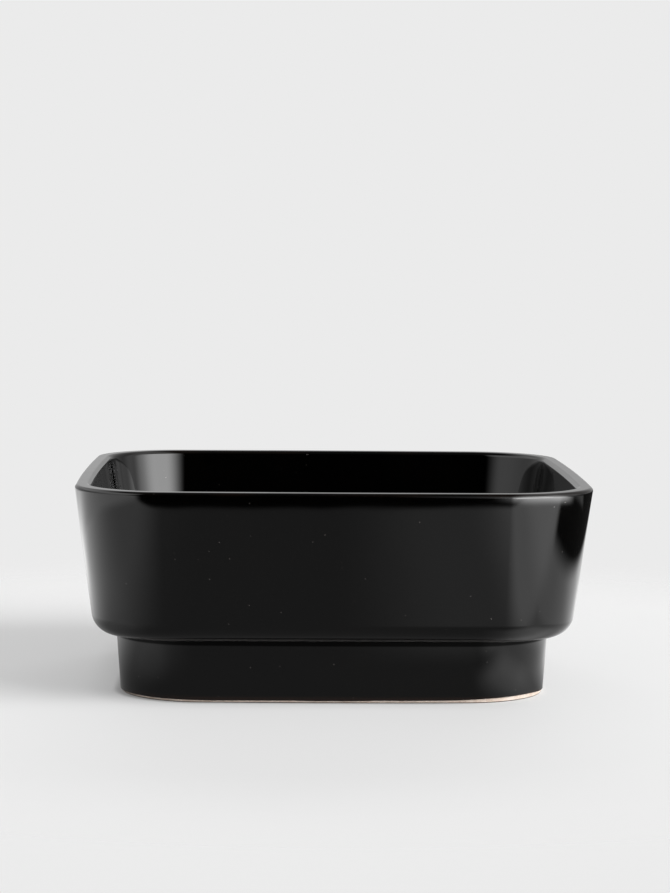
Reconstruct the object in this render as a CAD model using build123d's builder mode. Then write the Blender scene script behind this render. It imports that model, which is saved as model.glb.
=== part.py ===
"""Square ikebana suiban: a black-glazed stoneware basin on a recessed foot, and the kenzan that stands in it.

Millimetres, +Z up. The origin is the middle of the standing face, and -Y is the front.
"""

import os
from math import radians, sin, tan

from build123d import *

# Outside of the glazed vessel
rim_width = 180.0  # across the middle of two sides, at the lip
rim_corner = 32.0  # corner radius in plan, at the lip
height = 73.0
wall_flare = 7.0  # how far each wall leans out between the underside and the lip
bowl_base_corner = 26.0  # corner radius in plan, at the underside
bowl_round = 7.6  # rounding between wall and underside
side_bow_angle = 1.6  # degrees that each side turns outward between its middle and its end
lip_width = 5.6
lip_round = 1.6

# Inside of the basin
floor_thickness = 7.0
base_wall = 7.0  # wall thickness where it meets the floor
inner_corner = 29.0  # corner radius of the hollow in plan, at the lip
floor_corner = 22.0  # the same, at the floor
floor_round = 10.0

# Foot
step_height = 21.5  # from the table to the underside of the bowl
step_overhang = 7.2  # how far the bowl would stand out over the foot if it weren't rounded
foot_draft = 1.4  # how far each side of the foot leans in, from the step to the table
foot_corner = 29.0
foot_wall = 9.0
foot_edge = 0.8  # bevel of the standing edge, where the glaze was wiped off

# Glaze
glaze = 0.35
glaze_pool = 0.4  # rounding of the glaze that gathers in the corner under the step
glaze_line = 1.5  # bare clay left above the table, outside
inner_glaze_line = 3.0  # the same inside the foot

# Kenzan
kenzan_diameter = 66.0
kenzan_base_thickness = 8.0
kenzan_base_bevel = 0.8
needle_diameter = 1.4
needle_length = 14.0  # that stands out of the base
needle_point = 3.0  # tapered length at the tip
needle_pitch = 3.9
needle_margin = 3.2  # from the outermost needles to the rim of the base
needle_backing = 1.0  # slice of the base that the needles are set in
ring_wall = 2.0
ring_lip = 5.0  # how far the ring turns in under the base
ring_sole = 1.2  # rubber under the base
ring_rise = 6.0  # how far the ring climbs the side of the base
ring_fit = 0.05  # clearance between the ring and the base

# Worked out from the sizes above
bowl_base_width = rim_width - 2 * wall_flare
foot_top_width = bowl_base_width - 2 * step_overhang
foot_base_width = foot_top_width - 2 * foot_draft
foot_root = step_height + floor_thickness / 2  # where the foot's outline ends, inside the bowl's floor
floor_height = step_height + floor_thickness
kenzan_base_height = floor_height + ring_sole
needle_backing_height = kenzan_base_height + kenzan_base_thickness - needle_backing
needle_root_height = kenzan_base_height + kenzan_base_thickness
needle_reach = kenzan_diameter / 2 - needle_margin


def plan(width, corner, level):
    """The vessel's outline at one level: a square with round corners and slightly bowed sides."""
    bow = radians(side_bow_angle)
    corner_centre = (width / 2 - corner) / (1 + tan(bow / 2))
    side_radius = corner + corner_centre / sin(bow)
    side_centre = width / 2 - side_radius
    with BuildSketch(Plane.XY.offset(level)) as outline:
        with BuildLine():
            for turn in range(0, 360, 90):
                side = Vector(side_centre, 0).rotate(Axis.Z, turn)
                CenterArc(side, side_radius, turn - side_bow_angle, 2 * side_bow_angle)
                diagonal = Vector(corner_centre, corner_centre).rotate(Axis.Z, turn)
                CenterArc(diagonal, corner, turn + side_bow_angle, 90 - 2 * side_bow_angle)
        make_face()
    return outline.sketch


def wall_width(level):
    """Outside width of the bowl's straight wall at a level."""
    rise = (level - step_height) / (height - step_height)
    return bowl_base_width + (rim_width - bowl_base_width) * rise


def cavity(under):
    """The hollow of the basin, grown by under on every side: the hollow of the clay below its glaze."""
    with BuildPart() as hollow:
        low = plan(
            wall_width(floor_height) - 2 * base_wall + 2 * under,
            floor_corner + under,
            floor_height - under,
        )
        high = plan(rim_width - 2 * lip_width + 2 * under, inner_corner + under, height)
        loft((low, high), ruled=True)
        fillet(hollow.edges().group_by(Axis.Z)[0], floor_round + under)
    return hollow.part


def basin(under):
    """The bowl with its hollow, shrunk by under on every side: 0 is the glazed outside."""
    underside = step_height + under
    with BuildPart() as form:
        low = plan(bowl_base_width - 2 * under, bowl_base_corner - under, underside)
        high = plan(rim_width - 2 * under, rim_corner - under, height - under)
        loft((low, high), ruled=True)
        fillet(form.edges().group_by(Axis.Z)[0], bowl_round - under)
        add(cavity(under), mode=Mode.SUBTRACT)
        fillet(form.edges().group_by(Axis.Z)[-1], lip_round - under)
    return form.part


def tapered_block(low, high):
    """A solid between two outlines, each a width, a corner radius and a level."""
    with BuildPart() as block:
        loft((plan(*low), plan(*high)), ruled=True)
    return block.part


def foot_outline(level, under):
    """The foot's outside at a level, shrunk by under."""
    width = foot_base_width + (foot_top_width - foot_base_width) * level / step_height
    return width - 2 * under, foot_corner - under, level


def hollow_outline(level, under):
    """The open space inside the foot at a level, shrunk by under."""
    return foot_base_width - 2 * foot_wall - 2 * under, foot_corner - foot_wall - under, level


def foot_block(under, bottom, top):
    """The foot's outside, solid, between two levels and shrunk by under."""
    return tapered_block(foot_outline(bottom, under), foot_outline(top, under))


def foot_hollow(under, bottom, top):
    """The open space inside the foot, between two levels and shrunk by under."""
    with BuildPart() as space:
        add(plan(*hollow_outline(bottom, under)))
        extrude(amount=top - bottom)
    return space.part


# Stoneware bowl, below its glaze
with BuildPart() as bowl:
    add(basin(glaze))

# Stoneware foot, luted to the underside of the bowl, with both sides of its standing edge bevelled
with BuildPart() as foot_ring:
    add(tapered_block(foot_outline(0, glaze + foot_edge), foot_outline(foot_edge, glaze)))
    add(foot_block(glaze, foot_edge, foot_root))
    add(foot_hollow(0, 0, foot_root), mode=Mode.SUBTRACT)
    hollow_bevel = tapered_block(hollow_outline(0, -foot_edge), hollow_outline(foot_edge, 0))
    add(hollow_bevel, mode=Mode.SUBTRACT)
    add(bowl.part, mode=Mode.SUBTRACT)

# Glaze over the floor, lip, wall and foot, stopping above the bare standing edge
with BuildPart() as glaze_coat:
    add(basin(0))
    add(foot_block(0, glaze_line, foot_root))
    step_corner = glaze_coat.edges(Select.LAST).sort_by(Axis.Z)[-8:]
    fillet(step_corner, glaze_pool)
    add(foot_block(glaze, 0, foot_root), mode=Mode.SUBTRACT)
    add(bowl.part, mode=Mode.SUBTRACT)

# Glaze inside the foot
with BuildPart() as underside_glaze:
    add(foot_hollow(0, inner_glaze_line, step_height + glaze))
    add(foot_hollow(glaze, inner_glaze_line, step_height), mode=Mode.SUBTRACT)

# Cast disc of the kenzan
with BuildPart() as kenzan_base:
    with Locations((0, 0, kenzan_base_height)):
        Cylinder(
            kenzan_diameter / 2,
            kenzan_base_thickness,
            align=(Align.CENTER, Align.CENTER, Align.MIN),
        )
    chamfer(kenzan_base.edges(), kenzan_base_bevel)
    with Locations((0, 0, needle_backing_height)):
        Cylinder(
            needle_reach + needle_diameter,
            needle_backing,
            align=(Align.CENTER, Align.CENTER, Align.MIN),
            mode=Mode.SUBTRACT,
        )

# One needle, from its root to its point
with BuildPart() as needle:
    with BuildSketch(Plane.XZ):
        with BuildLine():
            Polyline(
                (0, 0),
                (needle_diameter / 2, 0),
                (needle_diameter / 2, needle_length - needle_point),
                (0, needle_length),
                close=True,
            )
        make_face()
    revolve(axis=Axis.Z)

# All the needles, on the slice of the disc that they are set in
needle_rows = int(2 * needle_reach / needle_pitch) + 3
hexagon_grid = HexLocations(needle_pitch / 2, needle_rows, needle_rows, major_radius=False)
needle_places = [
    Location((place.position.X, place.position.Y, needle_root_height))
    for place in hexagon_grid.locations
    if place.position.length <= needle_reach
]
with BuildPart() as kenzan_needles:
    with Locations((0, 0, needle_backing_height)):
        Cylinder(
            needle_reach + needle_diameter,
            needle_backing,
            align=(Align.CENTER, Align.CENTER, Align.MIN),
        )
    with Locations(*needle_places):
        add(needle.part)

# Rubber ring round the disc, turned in under it
ring_bore = kenzan_diameter / 2 + ring_fit
with BuildPart() as kenzan_rubber_ring:
    with BuildSketch(Plane.XZ):
        with BuildLine():
            Polyline(
                (ring_bore - ring_lip, floor_height),
                (ring_bore + ring_wall, floor_height),
                (ring_bore + ring_wall, kenzan_base_height + ring_rise),
                (ring_bore, kenzan_base_height + ring_rise),
                (ring_bore, kenzan_base_height),
                (ring_bore - ring_lip, kenzan_base_height),
                close=True,
            )
        make_face()
    revolve(axis=Axis.Z)

nodes = {
    "bowl": bowl,
    "foot_ring": foot_ring,
    "glaze_coat": glaze_coat,
    "underside_glaze": underside_glaze,
    "kenzan_base": kenzan_base,
    "kenzan_needles": kenzan_needles,
    "kenzan_rubber_ring": kenzan_rubber_ring,
}
os.makedirs("parts", exist_ok=True)
for name, piece in nodes.items():
    piece.part.label = name
    export_step(piece.part, f"parts/{name}.step")
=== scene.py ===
import math

import bmesh
import bpy
from mathutils import Matrix, Vector


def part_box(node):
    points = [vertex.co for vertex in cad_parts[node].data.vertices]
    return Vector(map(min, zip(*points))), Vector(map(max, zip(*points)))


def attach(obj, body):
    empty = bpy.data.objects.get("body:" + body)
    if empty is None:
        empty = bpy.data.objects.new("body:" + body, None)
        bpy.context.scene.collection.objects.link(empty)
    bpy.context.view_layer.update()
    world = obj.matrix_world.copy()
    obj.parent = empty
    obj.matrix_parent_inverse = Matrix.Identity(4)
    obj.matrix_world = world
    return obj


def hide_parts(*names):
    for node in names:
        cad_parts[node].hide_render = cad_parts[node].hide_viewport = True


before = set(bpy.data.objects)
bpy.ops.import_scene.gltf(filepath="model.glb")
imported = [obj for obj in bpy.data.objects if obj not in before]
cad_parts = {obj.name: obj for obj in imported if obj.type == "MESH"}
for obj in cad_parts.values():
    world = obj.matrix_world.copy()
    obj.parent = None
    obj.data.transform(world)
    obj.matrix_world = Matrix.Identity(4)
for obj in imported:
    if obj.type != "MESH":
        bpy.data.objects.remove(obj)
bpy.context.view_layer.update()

# The bowl's body: iron-bearing stoneware, pressed in a plaster mould with its wall and floor in one.
# The glaze hides all of it, so it keeps its own solid and only takes the bare clay's finish.


class Signal:
    """A shader socket: arithmetic adds Math nodes, and node() adds any other node."""

    def __init__(self, tree, socket=None):
        self.tree = tree
        self.socket = socket

    def node(self, kind, settings=None, inputs=None, output=None):
        made = self.tree.nodes.new(kind)
        for name, value in (settings or {}).items():
            setattr(made, name, value)
        for name, value in (inputs or {}).items():
            socket = made.inputs[name]
            if isinstance(name, str):
                socket = next(each for each in made.inputs if each.name == name and each.enabled)
            if isinstance(value, Signal):
                self.tree.links.new(value.socket, socket)
            else:
                socket.default_value = value
        first = next((each for each in made.outputs if each.enabled), None)
        return Signal(self.tree, made.outputs[output] if output else first)

    def math(self, operation, first, second=0.0):
        return self.node("ShaderNodeMath", {"operation": operation}, {0: first, 1: second})

    def __add__(self, other):
        return self.math("ADD", self, other)

    def __sub__(self, other):
        return self.math("SUBTRACT", self, other)

    def __mul__(self, other):
        return self.math("MULTIPLY", self, other)

    def __rsub__(self, other):
        return self.math("SUBTRACT", other, self)

    __radd__ = __add__
    __rmul__ = __mul__

    def axis(self, name):
        """One axis of a vector."""
        return self.node("ShaderNodeSeparateXYZ", None, {"Vector": self}, output=name)

    def smooth(self, low, high):
        """0 below low, 1 above high and a soft step between."""
        settings = {"interpolation_type": "SMOOTHSTEP"}
        return self.node("ShaderNodeMapRange", settings, {"Value": self, "From Min": low, "From Max": high})

    def band(self, start, end):
        """1 between two soft steps, each given as its low and its high."""
        return self.smooth(*start) * (1 - self.smooth(*end))

    def blend(self, first, second):
        """A colour that goes from first to second with this mask."""
        settings = {"data_type": "RGBA"}
        return self.node("ShaderNodeMix", settings, {"Factor": self, "A": first, "B": second})


def finish(name):
    """A new material with a Principled shader, and its object coordinates."""
    material = bpy.data.materials.new(name)
    material.use_nodes = True
    tree = material.node_tree
    shader = tree.nodes["Principled BSDF"]
    where = Signal(tree).node("ShaderNodeTexCoord", output="Object")
    return material, shader, where


def noise(where, size, detail=3.0, roughness=0.5):
    """Noise whose lumps are about size metres across."""
    values = {"Vector": where, "Scale": 1 / size, "Detail": detail, "Roughness": roughness}
    return where.node("ShaderNodeTexNoise", None, values)


def feed(shader, **values):
    """Links or sets the shader's sockets, named with underscores for spaces."""
    for name, value in values.items():
        socket = shader.inputs[name.replace("_", " ")]
        if isinstance(value, Signal):
            value.tree.links.new(value.socket, socket)
        else:
            socket.default_value = value


def bump(height, depth):
    """Normals of a height that runs from 0 to 1 over depth metres."""
    return height.node("ShaderNodeBump", None, {"Strength": 1.0, "Distance": depth, "Height": height})


def fired_clay():
    material, shader, where = finish("fired_clay")
    dark_buff = (0.66, 0.54, 0.455, 1)
    light_buff = (0.80, 0.70, 0.62, 1)
    grit_brown = (0.42, 0.30, 0.23, 1)
    # The bottom half millimetre of the clay is painted dark brown: painted shade where the bevelled standing
    # edge meets the table.
    painted_shade_brown = (0.060, 0.042, 0.030, 1)
    mottle = noise(where, 0.004, 4.0)
    grit = noise(where, 0.0006, 2.0).smooth(0.56, 0.70)
    above_painted_shade = where.axis("Z").smooth(0.0002, 0.0005)
    buff = mottle.smooth(0.3, 0.7).blend(dark_buff, light_buff)
    gritty = (grit * 0.35).blend(buff, grit_brown)
    colour = above_painted_shade.blend(painted_shade_brown, gritty)
    feed(shader, Base_Color=colour, Roughness=0.72 + 0.2 * mottle, Normal=bump(noise(where, 0.0009), 0.0002))
    return material


clay = fired_clay()
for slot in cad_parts["bowl"].material_slots:
    slot.material = clay

# The foot: a square ring of the same clay, luted to the underside of the bowl while both were damp.
# Its standing edge was sponged clean of glaze and bevelled, so that it didn't stick to the kiln shelf.
foot_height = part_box("foot_ring")[1].z
foot_base_width = 0.1481
foot_top_width = 0.1509
foot_corner = 0.02865
foot_hollow_width = 0.1308
foot_hollow_corner = 0.0200
foot_edge_bevel = 0.0006
side_bow = math.radians(1.6)
side_steps = 20
corner_steps = 30
sharp = math.radians(30)
weld = 0.00003


def new_mesh(name):
    """An empty mesh, open in edit mode."""
    bpy.ops.object.select_all(action="DESELECT")
    bpy.ops.mesh.primitive_plane_add()
    piece = bpy.context.object
    piece.name = name
    piece.data.name = name
    bpy.ops.object.mode_set(mode="EDIT")
    bpy.ops.mesh.delete(type="VERT")
    bpy.ops.mesh.select_mode(type="VERT")
    return piece


def draw_outline(width, corner, level):
    """Draws the vessel's plan at one level: a point spun along four bowed sides and round four corners."""
    corner_centre = (width / 2 - corner) / (1 + math.tan(side_bow / 2))
    side_radius = corner + corner_centre / math.sin(side_bow)
    side_centre = width / 2 - side_radius
    start = (side_centre + side_radius * math.cos(side_bow), -side_radius * math.sin(side_bow), level)
    corner_angle = math.pi / 2 - 2 * side_bow
    bpy.ops.mesh.select_all(action="DESELECT")
    bpy.ops.mesh.primitive_plane_add(size=corner, location=start)
    bpy.ops.mesh.merge(type="CENTER")
    for turn in range(4):
        quarter = Matrix.Rotation(turn * math.pi / 2, 3, "Z")
        side = quarter @ Vector((side_centre, 0, level))
        diagonal = quarter @ Vector((corner_centre, corner_centre, level))
        bpy.ops.mesh.spin(steps=side_steps, angle=-2 * side_bow, center=side, axis=(0, 0, 1))
        bpy.ops.mesh.spin(steps=corner_steps, angle=-corner_angle, center=diagonal, axis=(0, 0, 1))


def merge_all():
    """Joins all the points in view that lie together."""
    bpy.ops.mesh.select_all(action="SELECT")
    bpy.ops.mesh.remove_doubles(threshold=weld)
    bpy.ops.mesh.select_all(action="SELECT")


def skin(*outlines):
    """Bridges each outline to the next, and hides the band so that the next one starts clear."""
    for pair in zip(outlines, outlines[1:]):
        for outline in pair:
            draw_outline(*outline)
        merge_all()
        bpy.ops.mesh.bridge_edge_loops()
        bpy.ops.mesh.select_all(action="SELECT")
        bpy.ops.mesh.hide()


def weld_all():
    """Joins the bands at their common outlines and turns their faces outward."""
    bpy.ops.mesh.reveal()
    merge_all()
    bpy.ops.mesh.normals_make_consistent(inside=False)


def select_edges(wanted):
    """Selects the edges that pass a test."""
    bpy.ops.mesh.select_mode(type="EDGE")
    bpy.ops.mesh.select_all(action="DESELECT")
    shape = bmesh.from_edit_mesh(bpy.context.object.data)
    for edge in shape.edges:
        if wanted(edge):
            edge.select_set(True)
    bmesh.update_edit_mesh(bpy.context.object.data)


def round_edges(level, convex, offset, segments):
    """Bevels the sharp edges of one level: its ridges if convex, otherwise its hollows."""

    def sharp_there(edge):
        if not edge.is_manifold or edge.is_convex != convex:
            return False
        at_level = all(abs(corner.co.z - level) < weld for corner in edge.verts)
        return at_level and edge.calc_face_angle() > sharp

    select_edges(sharp_there)
    bpy.ops.mesh.bevel(
        offset_type="OFFSET", offset=offset, segments=segments, affect="EDGES", clamp_overlap=False
    )


def ready(piece, body, node, material):
    """Smooths a finished piece and puts it on its body in place of its solid."""
    bpy.ops.object.mode_set(mode="OBJECT")
    bpy.ops.object.shade_smooth_by_angle(angle=math.radians(40))
    piece.data.materials.clear()
    piece.data.materials.append(material)
    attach(piece, body)
    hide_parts(node)


foot = new_mesh("foot")
skin(
    (foot_hollow_width, foot_hollow_corner, foot_height),
    (foot_hollow_width, foot_hollow_corner, 0),
    (foot_base_width, foot_corner, 0),
    (foot_top_width, foot_corner, foot_height),
    (foot_hollow_width, foot_hollow_corner, foot_height),
)
weld_all()
round_edges(0, convex=True, offset=foot_edge_bevel, segments=3)
ready(foot, "vessel", "foot_ring", clay)

# The glaze: one coat of black iron glaze over the basin, the lip, the wall and the foot, fired to a glassy
# skin. It rounds every edge, thins to brown on the lip, has a few pinholes, and stops in a wavy line above
# the table.
glaze_thickness = 0.00035
rim_width = 0.1800
rim_corner = 0.0320
rim_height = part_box("glaze_coat")[1].z
lip_width = 0.0056
lip_round = 0.0016
inner_corner = 0.0290
underside_width = 0.1660
underside_corner = 0.0260
underside_height = 0.0215
underside_round = 0.0076
wall_lean = math.atan((rim_width - underside_width) / 2 / (rim_height - underside_height))
floor_width = 0.1539
floor_corner = 0.0220
floor_height = 0.0285
floor_round = 0.0100
inner_lean = math.atan((rim_width / 2 - lip_width - floor_width / 2) / (rim_height - floor_height))
glazed_foot_top = 0.1516
glazed_foot_base = 0.1490
glazed_foot_corner = 0.0290
glaze_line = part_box("glaze_coat")[0].z
glaze_pool = 0.0004
tall_band = 0.012
wall_cuts = 9
line_drop = 0.00060
corner_rise = 0.00085
corner_spread = 0.26
line_waves = ((0.00003, 5, 0.8), (0.00006, 13, 0.0), (0.00004, 31, 0.0))


def black_glaze():
    material, shader, where = finish("black_glaze")
    black = (0.0004, 0.0004, 0.0004, 1)
    warm_black = (0.0008, 0.0007, 0.0006, 1)
    thin_brown = (0.030, 0.013, 0.007, 1)
    # Colour of a painted highlight along the lower edge of the bowl.
    painted_highlight_grey = (0.045, 0.043, 0.042, 1)
    pinhole_grey = (0.058, 0.052, 0.048, 1)
    pinhole_spacing = 0.0035
    pinhole_edge = (0.040, 0.093)
    share_without = 0.34

    height = where.axis("Z")
    cloud = noise(where, 0.03, 3.0)
    thin_lip = height.smooth(rim_height - lip_round, rim_height - 0.0003) * cloud.smooth(0.40, 0.62)
    thin_foot = 1 - height.smooth(glaze_line, glaze_line + 0.0012)
    thin = where.math("MAXIMUM", thin_lip * 0.10, thin_foot * 0.25)
    above_step = height - underside_height
    # A thin grey band on the lower rounding, just above the step, is a painted highlight.
    painted_highlight_band = above_step.band((0.0001, 0.0004), (0.0008, 0.0016))
    # Painted shade in the crease under the bowl: the glaze there is mixed towards an unreflecting black.
    painted_crease_shade = above_step.band((-0.0021, -0.0015), (-0.0001, 0.0002))

    nearest = {"feature": "F1", "distance": "EUCLIDEAN"}
    spots = {"Vector": where, "Scale": 1 / pinhole_spacing}
    from_spot = where.node("ShaderNodeTexVoronoi", nearest, spots, output="Distance")
    spot_colour = where.node("ShaderNodeTexVoronoi", nearest, spots, output="Color")
    chance = where.node("ShaderNodeSeparateColor", None, {"Color": spot_colour}, output="Red")
    deep = where.math("MAXIMUM", chance - share_without, 0.0) * 1.5
    pinhole = (1 - from_spot.smooth(*pinhole_edge)) * deep * deep

    clouded = cloud.smooth(0.35, 0.7).blend(black, warm_black)
    browned = thin.blend(clouded, thin_brown)
    highlighted = painted_highlight_band.blend(browned, painted_highlight_grey)
    colour = pinhole.blend(highlighted, pinhole_grey)
    ripple = noise(where, 0.030, 1.0) + 0.0012 * noise(where, 0.0016, 2.0) - 0.05 * pinhole
    roughness = 0.03 + 0.03 * noise(where, 0.012, 3.0) + 0.3 * pinhole
    feed(shader, Base_Color=colour, Roughness=roughness, Normal=bump(ripple, 0.00014), IOR=1.5)
    gloss = Signal(shader.id_data, shader.outputs["BSDF"])
    dull = where.node("ShaderNodeBsdfDiffuse", None, {"Color": clouded})
    # The painted crease shade mixes the gloss towards the black diffuse.
    coat = where.node("ShaderNodeMixShader", None, {0: painted_crease_shade * 0.75, 1: gloss, 2: dull})
    coat.tree.links.new(coat.socket, coat.tree.nodes["Material Output"].inputs["Surface"])
    return material


def cap(outline):
    """Fills one outline with a face."""
    draw_outline(*outline)
    merge_all()
    bpy.ops.mesh.edge_face_add()
    bpy.ops.mesh.hide()


def tangent_offset(radius, lean):
    """How far from an edge its rounding starts, where the wall leans from upright."""
    return radius / math.tan((math.pi / 2 + lean) / 2)


def apply_modifier(kind, **settings):
    """Adds a modifier to the open piece and applies it."""
    modifier = bpy.context.object.modifiers.new(kind.lower(), kind)
    for name, value in settings.items():
        setattr(modifier, name, value)
    bpy.ops.object.modifier_apply(modifier=modifier.name)


glaze = new_mesh("glaze")
skin(
    (glazed_foot_base, glazed_foot_corner, glaze_line),
    (glazed_foot_top, glazed_foot_corner, underside_height),
    (underside_width, underside_corner, underside_height),
    (rim_width, rim_corner, rim_height),
    (rim_width - 2 * lip_width, inner_corner, rim_height),
    (floor_width, floor_corner, floor_height),
)
cap((floor_width, floor_corner, floor_height))
weld_all()
underside_offset = tangent_offset(underside_round, wall_lean)
floor_offset = tangent_offset(floor_round, inner_lean)
round_edges(underside_height, convex=True, offset=underside_offset, segments=14)
round_edges(underside_height, convex=False, offset=glaze_pool, segments=3)
round_edges(rim_height, convex=True, offset=lip_round, segments=8)
round_edges(floor_height, convex=False, offset=floor_offset, segments=14)

# The tall bands of wall and foot are cut into rows, so that their faces aren't long slivers.
select_edges(lambda edge: abs(edge.verts[0].co.z - edge.verts[1].co.z) > tall_band)
bpy.ops.mesh.subdivide(number_cuts=wall_cuts)
bpy.ops.mesh.select_all(action="SELECT")
bpy.ops.mesh.normals_make_consistent(inside=False)

# The lower edge wanders a little, and climbs at the right-hand front corner.
shape = bmesh.from_edit_mesh(glaze.data)
for corner in shape.verts:
    if abs(corner.co.z - glaze_line) < weld:
        angle = math.atan2(corner.co.y, corner.co.x)
        from_corner = (angle + math.pi / 4) / corner_spread
        wander = sum(high * math.sin(count * angle + shift) for high, count, shift in line_waves)
        corner.co.z += wander + corner_rise * math.exp(-from_corner**2) - line_drop
bmesh.update_edit_mesh(glaze.data)
bpy.ops.object.mode_set(mode="OBJECT")
apply_modifier("SOLIDIFY", thickness=glaze_thickness, offset=-1.0, use_even_offset=True)
glaze_finish = black_glaze()
ready(glaze, "vessel", "glaze_coat", glaze_finish)
apply_modifier("WEIGHTED_NORMAL", weight=50, keep_sharp=True)

# The same glaze inside the foot: poured in and out again, so it lines the hollow and rounds its inner corner.
# The wiped standing edge parts it from the coat outside.
hollow_glaze_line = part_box("underside_glaze")[0].z
hollow_round = 0.0015

hollow_glaze = new_mesh("hollow_glaze")
lined = (foot_hollow_width - 2 * glaze_thickness, foot_hollow_corner - glaze_thickness)
skin((*lined, hollow_glaze_line), (*lined, underside_height))
cap((*lined, underside_height))
weld_all()
bpy.ops.mesh.flip_normals()
round_edges(underside_height, convex=False, offset=hollow_round, segments=5)
bpy.ops.object.mode_set(mode="OBJECT")
apply_modifier("SOLIDIFY", thickness=glaze_thickness, offset=-1.0, use_even_offset=True)
ready(hollow_glaze, "vessel", "underside_glaze", glaze_finish)

# The kenzan's disc: lead alloy cast round the needles in an open mould, dull grey and a little uneven.
# It stands loose on the basin's floor and is held there by its weight.
disc_low, disc_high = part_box("kenzan_base")
disc_radius = disc_high.x
disc_edge = 0.0009
disc_margin = 0.0006
disc_sides = 128
level_face = 0.99


def cast_lead():
    material, shader, where = finish("cast_lead")
    dark_grey = (0.20, 0.205, 0.215, 1)
    light_grey = (0.36, 0.365, 0.37, 1)
    bloom = noise(where, 0.009, 5.0, 0.6)
    scuff = noise(where, 0.0012, 3.0)
    colour = bloom.smooth(0.3, 0.7).blend(dark_grey, light_grey)
    feed(shader, Base_Color=colour, Metallic=0.85, Roughness=0.42 + 0.25 * bloom)
    feed(shader, Normal=bump(0.7 * bloom + 0.3 * scuff, 0.0004))
    return material


def select_faces(wanted):
    """Selects the faces that pass a test."""
    bpy.ops.mesh.select_mode(type="FACE")
    bpy.ops.mesh.select_all(action="DESELECT")
    shape = bmesh.from_edit_mesh(bpy.context.object.data)
    for face in shape.faces:
        face.select_set(wanted(face))
    bmesh.update_edit_mesh(bpy.context.object.data)


bpy.ops.object.select_all(action="DESELECT")
bpy.ops.mesh.primitive_cylinder_add(
    vertices=disc_sides,
    radius=disc_radius,
    depth=disc_high.z - disc_low.z,
    location=(0, 0, (disc_high.z + disc_low.z) / 2),
)
disc = bpy.context.object
disc.name = "disc"
bpy.ops.object.transform_apply(location=True, rotation=True, scale=True)
bpy.ops.object.mode_set(mode="EDIT")
select_edges(lambda edge: edge.calc_face_angle() > sharp)
bpy.ops.mesh.bevel(offset_type="OFFSET", offset=disc_edge, segments=4, affect="EDGES")
select_faces(lambda face: abs(face.normal.z) > level_face)
bpy.ops.mesh.inset(thickness=disc_margin)
ready(disc, "kenzan", "kenzan_base", cast_lead())

# The needles: drawn brass wire, each ground to a point and set in the disc in close staggered rows.
# Stems are pushed on or between them.
needle_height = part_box("kenzan_needles")[1].z
needle_radius = 0.0007
needle_point = 0.0030
shoulder_rise = 0.80
shoulder_width = 0.34
needle_tip_radius = 0.00008
needle_sunk = 0.0004
needle_root = disc_high.z - needle_sunk
needle_sides = 10
tarnish_height = 0.006


def drawn_brass():
    material, shader, where = finish("drawn_brass")
    bright_brass = (0.83, 0.60, 0.27, 1)
    dull_brass = (0.42, 0.27, 0.10, 1)
    tarnish = noise(where, 0.006, 3.0).smooth(0.35, 0.7)
    low = 1 - where.axis("Z").smooth(needle_root, needle_root + tarnish_height)
    dull = where.math("MAXIMUM", tarnish * 0.55, low * 0.8)
    colour = dull.blend(bright_brass, dull_brass)
    feed(shader, Base_Color=colour, Metallic=1.0, Roughness=0.22 + 0.28 * dull)
    feed(shader, Normal=bump(noise(where, 0.0005), 0.00005))
    return material


# Each needle stands where one of the solid's comes to a point.
points = [point.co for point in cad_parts["kenzan_needles"].data.vertices]
tips = [point for point in points if point.z > needle_height - weld]
places = sorted({(round(tip.x, 5), round(tip.y, 5)) for tip in tips})
shank = needle_height - needle_point - needle_root
bpy.ops.object.select_all(action="DESELECT")
bpy.ops.mesh.primitive_cylinder_add(
    vertices=needle_sides,
    radius=needle_radius,
    depth=shank,
    end_fill_type="NGON",
    location=(*places[0], needle_root + shank / 2),
)
needles = bpy.context.object
needles.name = "needles"
bpy.ops.object.transform_apply(location=True, rotation=True, scale=True)
bpy.ops.object.mode_set(mode="EDIT")
select_faces(lambda face: face.normal.z > level_face)
tip_width = needle_tip_radius / needle_radius
for rise, width in ((shoulder_rise, shoulder_width), (1 - shoulder_rise, tip_width / shoulder_width)):
    bpy.ops.mesh.extrude_region_move(TRANSFORM_OT_translate={"value": (0, 0, rise * needle_point)})
    bpy.ops.transform.resize(value=(width, width, 1), center_override=(*places[0], needle_root))
bpy.ops.mesh.select_all(action="SELECT")
for before, after in zip(places, places[1:]):
    step = (after[0] - before[0], after[1] - before[1], 0)
    bpy.ops.mesh.duplicate_move(TRANSFORM_OT_translate={"value": step})
ready(needles, "kenzan", "kenzan_needles", drawn_brass())

# The rubber ring: moulded black rubber, stretched round the disc and turned in under its edge.
# It keeps the metal off the glaze and stops the kenzan sliding.
ring_low, ring_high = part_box("kenzan_rubber_ring")
ring_fit = 0.00005
ring_lip = 0.0050
ring_outer = ring_high.x
ring_bore = disc_radius + ring_fit
ring_inner = ring_bore - ring_lip
ring_sole = disc_low.z - ring_low.z
ring_rise = ring_high.z - disc_low.z
ring_soft = 0.00045
ring_steps = 128


def moulded_rubber():
    material, shader, where = finish("moulded_rubber")
    black_rubber = (0.016, 0.016, 0.017, 1)
    dusty_rubber = (0.040, 0.039, 0.037, 1)
    dust = noise(where, 0.007, 4.0)
    colour = dust.smooth(0.45, 0.75).blend(black_rubber, dusty_rubber)
    feed(shader, Base_Color=colour, Roughness=0.55 + 0.25 * dust, Normal=bump(noise(where, 0.0006), 0.0001))
    return material


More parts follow.
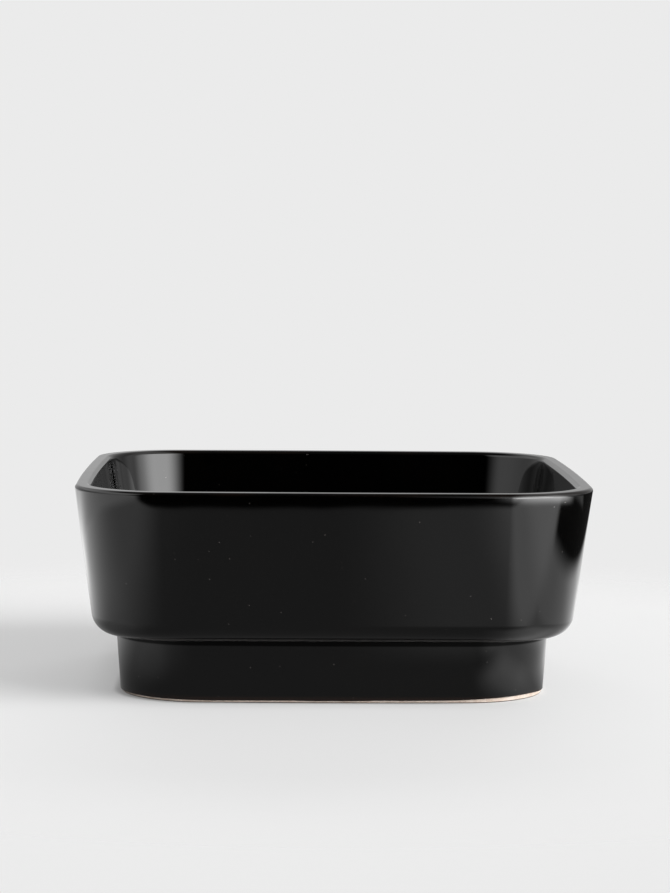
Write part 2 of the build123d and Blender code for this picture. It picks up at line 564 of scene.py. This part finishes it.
bpy.ops.object.select_all(action="DESELECT")
sole_middle = Vector(((ring_inner + ring_outer) / 2, 0, ring_low.z + ring_sole / 2))
bpy.ops.mesh.primitive_plane_add(size=1, location=sole_middle, rotation=(math.pi / 2, 0, 0))
ring = bpy.context.object
ring.name = "ring"
ring.scale = (ring_outer - ring_inner, ring_sole, 1)
bpy.ops.object.transform_apply(location=True, rotation=True, scale=True)
bpy.ops.object.mode_set(mode="EDIT")
bpy.ops.mesh.select_all(action="SELECT")
bpy.ops.mesh.bisect(plane_co=(ring_bore, 0, 0), plane_no=(1, 0, 0))
select_edges(lambda edge: all(c.co.z > disc_low.z - weld and c.co.x > ring_bore - weld for c in edge.verts))
bpy.ops.mesh.extrude_edges_move(TRANSFORM_OT_translate={"value": (0, 0, ring_rise)})
bpy.ops.mesh.select_mode(type="VERT")
bpy.ops.mesh.select_all(action="SELECT")
bpy.ops.mesh.dissolve_limited(angle_limit=0.01)
bpy.ops.mesh.select_all(action="SELECT")
bpy.ops.mesh.bevel(offset_type="OFFSET", offset=ring_soft, segments=3, affect="VERTICES")
bpy.ops.mesh.select_all(action="SELECT")
bpy.ops.mesh.delete(type="ONLY_FACE")
bpy.ops.mesh.select_all(action="SELECT")
bpy.ops.mesh.spin(steps=ring_steps, angle=2 * math.pi, center=(0, 0, 0), axis=(0, 0, 1))
merge_all()
bpy.ops.mesh.normals_make_consistent(inside=False)
ready(ring, "kenzan", "kenzan_rubber_ring", moulded_rubber())

# The studio: a pale seamless floor with no horizon, a wide soft light at the front right and a low one
# behind. In the glaze the floor shows as a table that ends in front of the vessel and to its right, and
# round it stand a soft box at the front right, white sides and a dark front.
pale = 0.8308
ambient = 0.274
plain_white = (1, 1, 1, 1)
floor_radius = 4
floor_fade = (0.20, 0.36)
floor_contrast = 0.544
foot_straight = foot_base_width / 2 - foot_corner
table_front = -0.2645
table_right = 0.234
lit_patch = (-0.110, -0.084, 0)
lamp_reach = 0.279
lamp_slant = 0.036
lamp_level = 8.5
sheet_reach = 0.305
sheet_level = 1.42
box_level = 7.2
low_box_gain = 12.0
in_degrees = 180 / math.pi
lights = {
    "key": {"azimuth": 64.4, "elevation": 29.8, "spread": 50, "strength": 3.81},
    "back_light": {"azimuth": 174, "elevation": 6.1, "spread": 58, "strength": 4.4},
}


def distance(where, place=(0, 0, 0)):
    """How far each point is from a place."""
    return where.node("ShaderNodeVectorMath", {"operation": "DISTANCE"}, {0: where, 1: place}, output="Value")


def mirrored_floor(where):
    """How bright the floor shows in the glaze: a table, a lamp beyond it and a white sheet on the left."""
    x = where.axis("X")
    y = where.axis("Y")
    forward = 0 - y
    reach = distance(where)
    bearing = where.math("ARCTAN2", x, forward)

    # The middle of the table is dim, a little less so at the front right.
    middle = 0.22 + 0.20 * x.smooth(0.000, 0.052) * forward.smooth(0.115, 0.150)

    # The left side brightens towards the back and dims again, with a small lit patch near the foot.
    left = 0.55 + 0.95 * y.smooth(-0.170, 0.080) + 0.30 * y.smooth(0.060, 0.160)
    left = left - 0.75 * y.smooth(0.190, 0.360)
    left = left * (0 - x - 0.028 * y.smooth(-0.120, -0.050)).smooth(0.050, 0.185)
    left = left + 0.14 * (1 - distance(where, lit_patch).smooth(0.012, 0.040))

    # The right side is brighter further out, and beside the front corner of the foot.
    far_right = where.math("MAXIMUM", x.smooth(0.126, 0.150), forward.smooth(0.115, 0.135))
    right = 0.57 + 0.33 * far_right
    right = right + (0.10 + 0.40 * x.smooth(0.130, 0.200)) * forward.smooth(0.085, 0.165)
    right = right + 0.35 * y.smooth(-0.050, 0.020) - 0.45 * y.smooth(0.100, 0.230)
    right = right * x.smooth(0.062, 0.108)
    by_foot = x.band((0.050, 0.076), (0.084, 0.118)) * forward.band((0.050, 0.072), (0.092, 0.118))
    right = right + 0.62 * by_foot

    # The table ends in front on a line that slants in at the left, and on the right at a dark gap.
    gap = x.smooth(table_right - 0.022, table_right + 0.022) * y.smooth(-0.138, -0.114)
    in_gap = 0.03 + 0.35 * reach.smooth(0.336, 0.362) * (1 - y.smooth(0.080, 0.125))
    front = table_front + 0.22 * where.math("MAXIMUM", -0.08 - x, 0.0)
    table = (middle + left + right) * (1 - gap) * (y - front).smooth(-0.005, 0.006) + gap * in_gap

    lamp = (bearing * in_degrees).band((15, 22), (66, 88))
    lamp = lamp * (reach - lamp_slant * bearing).smooth(lamp_reach - 0.009, lamp_reach + 0.018)
    sheet = (0 - bearing * in_degrees).band((32, 42), (90, 130))
    sheet = sheet * reach.smooth(sheet_reach - 0.011, sheet_reach + 0.011)
    return table + lamp_level * lamp + (sheet_level - table) * sheet


def contact_shade(where):
    """How much the floor darkens close to the foot, except at its right end."""
    x = where.axis("X")
    y = where.axis("Y")
    past_x = where.math("MAXIMUM", where.math("ABSOLUTE", x) - foot_straight, 0.0)
    past_y = where.math("MAXIMUM", where.math("ABSOLUTE", y) - foot_straight, 0.0)
    from_foot = where.math("SQRT", past_x * past_x + past_y * past_y) - foot_corner
    wide = 0.17 * (1 - from_foot.smooth(0.000, 0.016)) * (1 - x.smooth(0.045, 0.070))
    narrow = 0.45 * (1 - from_foot.smooth(0.000, 0.003)) * (1 - x.smooth(0.030, 0.052))
    return wide + narrow


def studio_floor():
    material = bpy.data.materials.new("studio_floor")
    material.use_nodes = True
    tree = material.node_tree
    tree.nodes.clear()
    where = Signal(tree).node("ShaderNodeTexCoord", output="Object")
    camera_ray = where.node("ShaderNodeLightPath", output="Is Camera Ray")
    glossy_ray = where.node("ShaderNodeLightPath", output="Is Glossy Ray")
    from_below = where.node("ShaderNodeNewGeometry", output="Backfacing")
    even_level = pale * (1 - contact_shade(where))
    glaze_level = mirrored_floor(where)
    diffuse = where.node("ShaderNodeBsdfDiffuse", None, {"Color": (pale, pale, pale, 1)})
    even = where.node("ShaderNodeEmission", None, {"Color": plain_white, "Strength": even_level})
    in_glaze = where.node("ShaderNodeEmission", None, {"Color": plain_white, "Strength": glaze_level})
    clear = where.node("ShaderNodeBsdfTransparent")
    softened = camera_ray * (1 - floor_contrast)
    faded = where.math("MAXIMUM", camera_ray * distance(where).smooth(*floor_fade), from_below)
    lit = where.node("ShaderNodeMixShader", None, {0: softened, 1: diffuse, 2: even})
    solid = where.node("ShaderNodeMixShader", None, {0: glossy_ray, 1: lit, 2: in_glaze})
    shown = where.node("ShaderNodeMixShader", None, {0: faded, 1: solid, 2: clear})
    where.node("ShaderNodeOutputMaterial", None, {"Surface": shown})
    return material


bpy.ops.object.select_all(action="DESELECT")
bpy.ops.mesh.primitive_circle_add(vertices=64, radius=floor_radius, fill_type="NGON")
floor = bpy.context.object
floor.name = "floor"
floor.data.materials.append(studio_floor())

# What the glaze mirrors above the floor, by azimuth from the front to the right and by elevation, in
# degrees: a soft box that is wider and brighter low down, white sides, and a ceiling lit on the right.
world = bpy.data.worlds.new("studio")
bpy.context.scene.world = world
world.use_nodes = True
world.node_tree.nodes.clear()
away = Signal(world.node_tree).node("ShaderNodeTexCoord", output="Generated")
azimuth = away.math("ARCTAN2", away.axis("X"), 0 - away.axis("Y")) * in_degrees
elevation = away.math("ARCSINE", away.axis("Z")) * in_degrees
leftward = 0 - azimuth
low = 1 - elevation.smooth(6, 10)
ceiling = elevation.smooth(40, 62)
soft_box = azimuth.smooth(3, 34)
soft_box = soft_box + low * (azimuth.smooth(6, 15) - soft_box)
soft_box = soft_box * (1 - azimuth.smooth(52, 94)) * (1 - elevation.smooth(34, 48))
white_left = leftward.smooth(31, 58) * (1.12 - 0.55 * leftward.smooth(62, 120))
white_left = white_left + 0.7 * leftward.band((31, 44), (125, 160)) * elevation.smooth(15, 24)
white_right = 0.36 + 0.15 * azimuth.smooth(140, 170) + 0.55 * (1 - azimuth.smooth(98, 120))
white_right = white_right * azimuth.smooth(70, 84)
mirrored = (box_level + low_box_gain * low) * soft_box + (white_left + white_right) * (1 - ceiling)
mirrored = mirrored + ceiling * (0.06 + 0.9 * away.axis("X").smooth(0.12, 0.40))

# The right side is brighter where one wall shows it in another.
mirrorings = away.node("ShaderNodeLightPath", output="Glossy Depth")
right_side = azimuth.band((72, 84), (94, 104)) * elevation.band((7, 10), (15, 20))
mirrored = mirrored + 1.7 * right_side * mirrorings.smooth(1.2, 1.8)

camera_ray = away.node("ShaderNodeLightPath", output="Is Camera Ray")
glossy_ray = away.node("ShaderNodeLightPath", output="Is Glossy Ray")
level = camera_ray * pale + glossy_ray * mirrored + (1 - camera_ray) * (1 - glossy_ray) * ambient
sky = away.node("ShaderNodeBackground", None, {"Color": plain_white, "Strength": level})
away.node("ShaderNodeOutputWorld", None, {"Surface": sky})


def outward(around, up):
    """The way out from the vessel, at degrees round from the front to the right and degrees up."""
    around = math.radians(around)
    up = math.radians(up)
    return Vector((math.sin(around) * math.cos(up), -math.cos(around) * math.cos(up), math.sin(up)))


for name, place in lights.items():
    bpy.ops.object.light_add(type="SUN")
    light = bpy.context.object
    light.name = name
    light.data.energy = place["strength"]
    light.data.angle = math.radians(place["spread"])
    light.visible_glossy = False
    light_way = outward(place["azimuth"], place["elevation"])
    light.rotation_euler = light_way.to_track_quat("Z", "Y").to_euler()

# The camera: a long lens a little above the lip, slightly left of the middle, turned up from the vessel.
# Its place and its lens are fitted to the vessel's edges in the photograph.
camera_distance = 0.9729
camera_azimuth = -1.3098
camera_elevation = 7.1324
camera_tilt = math.radians(2.6072)
camera_pan = math.radians(-0.0937)
camera_roll = math.radians(0.4415)
camera_aim = Vector((0, 0, 0.0372))
camera_lens = 107.02
camera_film = 36.0

bpy.ops.object.camera_add()
camera = bpy.context.object
camera.data.sensor_width = camera_film
camera.data.lens = camera_lens
camera_way = outward(camera_azimuth, camera_elevation)
turn = camera_way.to_track_quat("Z", "Y").to_matrix().to_4x4()
turn = turn @ Matrix.Rotation(camera_tilt, 4, "X") @ Matrix.Rotation(camera_pan, 4, "Y")
turn = turn @ Matrix.Rotation(camera_roll, 4, "Z")
camera.matrix_world = Matrix.Translation(camera_aim + camera_way * camera_distance) @ turn
bpy.context.scene.camera = camera
bpy.context.scene.view_settings.view_transform = "Standard"
